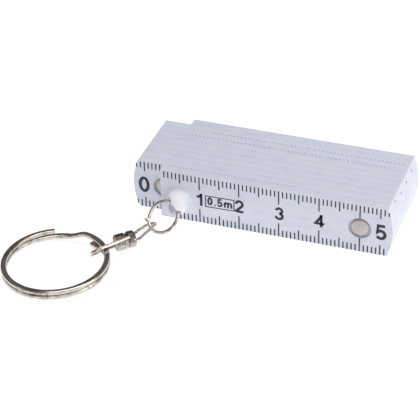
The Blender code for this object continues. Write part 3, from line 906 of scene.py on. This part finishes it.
SWIVEL_TURN = 45.6
SWIVEL_FROM_LUG = Vector((-8.26, -15.40, -3.83)) * MM
DRUM_RADIUS = 2.03 * MM
HEAD_END = 2.18 * MM
GROOVE_HALF = 0.20 * MM
HEAD_START = 0.42 * MM
NECK_RADIUS = 1.50 * MM
STEM_RADIUS = 0.85 * MM
BARREL_END = 2.55 * MM
BARREL_WALL_END = 1.15 * MM
BARREL_CAVITY = 1.50 * MM
CAP_THICKNESS = 0.42 * MM
DRUM_EDGE = 0.40 * MM
GROOVE_EDGE = 0.30 * MM
# More than the barrel's rim has room for, so its rounding takes the room there is
RIM_EDGE = 1.3 * MM
RUNNING_CLEARANCE = 0.06 * MM
LINK_WIRE = 0.40 * MM
LINK_HALF_WIDTH = 1.38 * MM
LINK_REACH = Vector((2.64, 9.20, -1.20)) * MM
LINK_ROLL = 20.0
LINK_SEAT = 1.10 * MM
LINK_BEND = 3.5
STRAP_TURN = 53.8
STRAP_ROLL = 47.0
STRAP_LENGTH = 9.30 * MM
STRAP_TAIL = 0.9 * MM
STRAP_HALF_WIDTH = 2.45 * MM
STRAP_THICKNESS = 0.45 * MM
STRAP_BREADTH = 0.72 * MM
PIN_POSITION = 0.68 * MM
PIN_RADIUS = 0.28 * MM
PIN_DEPTH = 0.62 * MM
RING_FROM_LUG = Vector((-20.86, -28.25, -6.08)) * MM
RING_OUTER = 12.91 * MM
RING_BAND = 1.40 * MM
RING_WIRE_HEIGHT = 1.04 * MM
RING_TURN_GAP = 0.08 * MM
RING_LIFT = 1.00 * MM
RING_HOOK_ANGLE = 39.0
RING_TIP_ANGLE = 64.0
RING_TIP_TUCK = 0.75 * MM
RING_TUCK_ANGLE = 34.0
RING_RAMP_START = 263.0
RING_RAMP_END = 284.0
RING_SWING = 0.48 * MM
RING_SWING_ANGLE = 26.0
RING_LAST_ANGLE = 606.0


def level_direction(turn):
    return Vector((math.cos(math.radians(turn)), math.sin(math.radians(turn)), 0))


def swivel_axes():
    ahead = level_direction(SWIVEL_TURN)
    return axes(ahead.cross(UP), ahead, UP)


def swivel_centre():
    return LUG + SWIVEL_FROM_LUG


def make_swivel_head():
    stem_end = -BARREL_END + CAP_THICKNESS + 0.15 * MM
    drum = [
        (NECK_RADIUS, HEAD_START),
        (DRUM_RADIUS, HEAD_START),
        (DRUM_RADIUS, HEAD_END),
        (0.9 * MM, HEAD_END),
    ]
    profile = [
        (0, stem_end),
        (STEM_RADIUS, stem_end),
        (STEM_RADIUS, -GROOVE_HALF + RUNNING_CLEARANCE),
        (NECK_RADIUS, -GROOVE_HALF + RUNNING_CLEARANCE),
    ] + eased(drum, DRUM_EDGE) + [(0, HEAD_END)]
    piece = new_object("swivel_head_drum", turned(profile), SWIVEL, swivel_centre(), swivel_axes())
    for side in (-1, 1):
        radius = LINK_WIRE + 0.03 * MM
        seat = [(0, 0), (radius, 0), (radius, 3 * MM), (0, 3 * MM)]
        offset = Vector((side * LINK_HALF_WIDTH, HEAD_END - LINK_SEAT, 0))
        place = swivel_centre() + swivel_axes() @ offset
        carve(piece, new_object("seat", turned(seat, 32), None, place, swivel_axes()))
    replace_node(piece, "swivel_head", "swivel_head_body")


def make_swivel_barrel():
    bore = STEM_RADIUS + RUNNING_CLEARANCE
    shell = [
        (bore, -GROOVE_HALF),
        (DRUM_RADIUS, -GROOVE_HALF),
        (DRUM_RADIUS, -BARREL_END),
        (BARREL_CAVITY + 0.02 * MM, -BARREL_END),
    ]
    profile = eased(shell[:3], GROOVE_EDGE)[:-1] + eased(shell[1:], RIM_EDGE)[1:] + [
        (BARREL_CAVITY, -BARREL_END + 0.02 * MM),
        (BARREL_CAVITY, -BARREL_WALL_END),
        (bore, -BARREL_WALL_END),
    ]
    drum = turned(profile, is_ring=True)
    piece = new_object("swivel_barrel_drum", drum, SWIVEL, swivel_centre(), swivel_axes())
    hole = PIN_RADIUS + 0.05 * MM
    depth, reach = DRUM_RADIUS - PIN_DEPTH, 2 * DRUM_RADIUS
    for side in (-1, 1):
        near, far = side * depth, side * reach
        drill = turned([(0, near), (hole, near), (hole, far), (0, far)], 32)
        carve(piece, new_object("pin_hole", drill, None, strap_centre(), strap_axes()))
    replace_node(piece, "swivel_barrel", "swivel_barrel_body")


def make_barrel_cap():
    """The plug in the barrel's far end, punched in the middle."""
    radius = BARREL_CAVITY - 0.03 * MM
    start = -BARREL_END + 0.04 * MM
    plug = [(radius, start + CAP_THICKNESS), (radius, start), (0.45 * MM, start)]
    punched = [(0.25 * MM, start + 0.1 * MM), (0, start + 0.14 * MM)]
    profile = [(0, start + CAP_THICKNESS)] + eased(plug, 0.14 * MM) + punched
    piece = new_object("swivel_end_plug", turned(profile), SWIVEL, swivel_centre(), swivel_axes())
    replace_node(piece, "barrel_cap", "swivel_barrel_body")


def link_path():
    """The wire's centre line from the head: out along one arm, round the jump ring and back."""
    ahead = swivel_axes() @ ACROSS
    sideways = swivel_axes() @ Vector((1, 0, 0))
    end_face = ahead * HEAD_END
    reach = LINK_REACH - end_face
    straight = reach.normalized()
    roll = math.radians(LINK_ROLL)
    level = straight.cross(UP).normalized()
    across = level * math.cos(roll) + level.cross(straight) * math.sin(roll)
    arm = []
    steps = 5
    for k in range(steps + 1):
        share = k / steps
        ease = share * share * (3 - 2 * share)
        bent = min(1, LINK_BEND * share)
        middle = end_face + (ahead * reach.length * share).lerp(reach * share, bent)
        arm.append((middle, sideways.lerp(across, ease).normalized()))
    seat = ahead * (HEAD_END - LINK_SEAT + 0.05 * MM)
    points = [seat + sideways * LINK_HALF_WIDTH]
    points += [middle + side * LINK_HALF_WIDTH for middle, side in arm]
    bend = 10
    for k in range(1, bend):
        angle = math.pi * k / bend
        offset = across * math.cos(angle) + straight * math.sin(angle)
        points.append(LINK_REACH + offset * LINK_HALF_WIDTH)
    points += [middle - side * LINK_HALF_WIDTH for middle, side in reversed(arm)]
    points.append(seat - sideways * LINK_HALF_WIDTH)
    return points


def make_ring_link():
    wire = swept(along_path(smooth_path(link_path()), UP), round_section(LINK_WIRE))
    piece = new_object("wire_ring_link", wire, SHADED_LOOP_WIRE, swivel_centre())
    replace_node(piece, "ring_link", "swivel_head_body")


def strap_axes():
    ahead = level_direction(STRAP_TURN)
    front = ahead.cross(UP)
    roll = math.radians(STRAP_ROLL)
    pins = front * math.cos(roll) + UP * math.sin(roll)
    return axes(ahead, pins, ahead.cross(pins))


def strap_centre():
    return swivel_centre() + swivel_axes() @ Vector((0, -PIN_POSITION, 0))


def make_key_link():
    h = STRAP_HALF_WIDTH
    bend_x = -STRAP_LENGTH + h + STRAP_THICKNESS / 2
    stations = [(Vector((STRAP_TAIL, h, 0)), ACROSS, UP)]
    steps = 48
    for k in range(steps + 1):
        angle = math.pi * k / steps
        outward = Vector((-math.sin(angle), math.cos(angle), 0))
        stations.append((Vector((bend_x, 0, 0)) + outward * h, outward, UP))
    stations.append((Vector((STRAP_TAIL, -h, 0)), -ACROSS, UP))
    strap = swept(stations, rounded_section(STRAP_THICKNESS, STRAP_BREADTH, 0.16 * MM), 0.1 * MM)
    piece = new_object("strap_key_link", strap, WIRE, strap_centre(), strap_axes())
    for side in (-1, 1):
        tip, root = side * (DRUM_RADIUS - PIN_DEPTH + 0.05 * MM), side * h
        pin = turned([(0, tip), (PIN_RADIUS, tip), (PIN_RADIUS, root), (0, root)], 32)
        carve(piece, new_object("pin", pin, None, strap_centre(), strap_axes()), "UNION")
    replace_node(piece, "key_link", "key_link_body")


def split_ring_slope():
    return math.asin(RING_LIFT / (2 * RING_OUTER - RING_BAND))


def split_ring_axes():
    towards = level_direction(RING_HOOK_ANGLE)
    slope = split_ring_slope()
    aside = UP.cross(towards)
    rise = towards * math.cos(slope) + UP * math.sin(slope)
    tilt = axes(rise, aside, rise.cross(aside))
    return tilt @ Matrix.Rotation(-math.radians(RING_HOOK_ANGLE), 3, "Z")


def split_ring_centre():
    lift = RING_OUTER * math.sin(split_ring_slope()) + 0.02 * MM
    return LUG + RING_FROM_LUG + UP * lift


def smooth_share(value, start, end):
    """0 up to start, 1 from end, and an eased rise between them."""
    share = min(1, max(0, (value - start) / (end - start)))
    return share * share * (3 - 2 * share)


def make_split_ring():
    """Nearly two turns. The first tip is tucked in, and the wire swings inwards just before it
    climbs to the upper turn."""
    middle = RING_OUTER - RING_BAND / 2
    stations = []
    count = 480
    for k in range(count + 1):
        travelled = (RING_LAST_ANGLE + RING_TIP_ANGLE) * k / count
        angle = math.radians(RING_TIP_ANGLE - travelled)
        tuck = RING_TIP_TUCK * (1 - smooth_share(travelled, 0, RING_TUCK_ANGLE))
        past_start = travelled - RING_TIP_ANGLE
        swing_start = RING_RAMP_START - 2 * RING_SWING_ANGLE
        swings_in = smooth_share(past_start, swing_start, swing_start + RING_SWING_ANGLE)
        swings_back = smooth_share(past_start, RING_RAMP_START, RING_RAMP_START + RING_SWING_ANGLE)
        tuck += RING_SWING * (swings_in - swings_back)
        turn = smooth_share(past_start, RING_RAMP_START, RING_RAMP_END)
        height = RING_WIRE_HEIGHT / 2 + turn * (RING_WIRE_HEIGHT + RING_TURN_GAP)
        outward = Vector((math.cos(angle), math.sin(angle), 0))
        stations.append((outward * (middle - tuck) + UP * height, outward, UP))
    section = rounded_section(RING_BAND, RING_WIRE_HEIGHT, 0.50 * MM, 7)
    ring = swept(stations, section, 0.08 * MM)
    piece = new_object("coiled_split_ring", ring, NICKEL, split_ring_centre(), split_ring_axes())
    replace_node(piece, "split_ring", "split_ring_body")


# The stage, the lights and the camera

ROOM_COLOR = (0.80, 0.815, 0.86, 1)
ROOM_STRENGTH = 0.50
# What reflections see instead: bands of (position along the direction, colour)
BAND_DIRECTION = (0.75, -0.61, 0.25)
DARK_BAND = (0.10, (0.29, 0.28, 0.275, 1))
MIDDLE_BAND = (0.42, (0.36, 0.315, 0.28, 1))
BRIGHT_BAND = (0.66, (1.7, 1.62, 1.55, 1))
# Softboxes that face the origin: (name, place, size, power)
SOFTBOXES = (
    ("right_softbox", (0.55, -0.05, 0.25), (0.4, 0.5), 1.16),
    ("top_softbox", (-0.05, 0.10, 0.70), (0.35, 0.35), 1.50),
    ("left_softbox", (-0.55, -0.30, 0.35), (0.12, 0.5), 0.24),
)


def make_floor():
    bm = bmesh.new()
    bmesh.ops.create_grid(bm, x_segments=1, y_segments=1, size=3)
    n = Nodes("floor")
    n.set(base_color=(0.46, 0.46, 0.46, 1), roughness=0.9)
    n.set(emission_color=(1, 1, 1, 1), emission_strength=0.74)
    lowest = CAD_BOX[0][2]
    new_object("floor", bm, n.material, Vector((0, 0, lowest - 0.02 * MM)))


def add_area_light(name, place, size, power):
    light = bpy.data.lights.new(name, "AREA")
    light.shape = "RECTANGLE"
    light.size, light.size_y = size
    light.energy = power
    lamp = bpy.data.objects.new(name, light)
    lamp.location = place
    lamp.rotation_euler = (-Vector(place)).to_track_quat("-Z", "Y").to_euler()
    bpy.context.scene.collection.objects.link(lamp)


def light_scene():
    world = bpy.data.worlds.new("studio")
    bpy.context.scene.world = world
    world.use_nodes = True
    tree = world.node_tree
    background = tree.nodes["Background"]
    path = tree.nodes.new("ShaderNodeLightPath")
    mix = tree.nodes.new("ShaderNodeMix")
    mix.data_type = "RGBA"
    tree.links.new(path.outputs["Is Glossy Ray"], mix.inputs["Factor"])
    mix.inputs["A"].default_value = ROOM_COLOR
    direction = tree.nodes.new("ShaderNodeTexCoord")
    frontness = tree.nodes.new("ShaderNodeVectorMath")
    frontness.operation = "DOT_PRODUCT"
    frontness.inputs[1].default_value = BAND_DIRECTION
    tree.links.new(direction.outputs["Generated"], frontness.inputs[0])
    room = tree.nodes.new("ShaderNodeValToRGB")
    tree.links.new(frontness.outputs["Value"], room.inputs["Fac"])
    bands = room.color_ramp.elements
    bands[0].position, bands[0].color = DARK_BAND
    bands[1].position, bands[1].color = BRIGHT_BAND
    bands.new(MIDDLE_BAND[0]).color = MIDDLE_BAND[1]
    tree.links.new(room.outputs["Color"], mix.inputs["B"])
    tree.links.new(mix.outputs["Result"], background.inputs["Color"])
    background.inputs["Strength"].default_value = ROOM_STRENGTH
    for softbox in SOFTBOXES:
        add_area_light(*softbox)


CAMERA_TURN = 20.35
CAMERA_HEIGHT = 33.87
CAMERA_ROLL = -1.48
CAMERA_DISTANCE = 0.4735
CAMERA_TARGET = Vector((-17.209, 11.82, -5.138)) * MM
CAMERA_LENS = 162.25


def make_camera():
    turn, height, roll = (math.radians(a) for a in (CAMERA_TURN, CAMERA_HEIGHT, CAMERA_ROLL))
    flat = math.cos(height)
    back = Vector((math.sin(turn) * flat, -math.cos(turn) * flat, math.sin(height)))
    right = UP.cross(back).normalized()
    above = back.cross(right)
    rolled_right = right * math.cos(roll) + above * math.sin(roll)
    rolled_above = above * math.cos(roll) - right * math.sin(roll)
    data = bpy.data.cameras.new("camera")
    data.sensor_width = 36
    data.lens = CAMERA_LENS
    data.clip_start = 0.01
    data.clip_end = 20
    camera = bpy.data.objects.new("camera", data)
    place = Matrix.Translation(CAMERA_TARGET + back * CAMERA_DISTANCE)
    camera.matrix_world = place @ axes(rolled_right, rolled_above, back).to_4x4()
    bpy.context.scene.collection.objects.link(camera)
    bpy.context.scene.camera = camera


def main():
    bpy.context.scene.view_settings.view_transform = "Standard"
    for segment in range(1, SEGMENTS + 1):
        body = make_segment(segment)
        if segment == 1:
            add_lug(body)
        piece = replace_node(body, f"segment_{segment:02d}", body_of_segment(segment))
        print_segment(segment)
    for segment, first, end, reach in EDGE_MARKS:
        print_edge_marks(segment, first, end, reach * MM)
    for segment, depth in END_MARKS:
        print_end_mark(segment, depth * MM)
    for hinge in range(1, SEGMENTS):
        make_rivet(hinge)
        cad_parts[f"spring_washer_{hinge:02d}"].material_slots[0].material = STEEL
    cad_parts["stem_collar"].material_slots[0].material = STEEL
    make_jump_ring()
    make_swivel_head()
    make_swivel_barrel()
    make_barrel_cap()
    make_ring_link()
    make_key_link()
    make_split_ring()
    make_floor()
    light_scene()
    make_camera()


main()
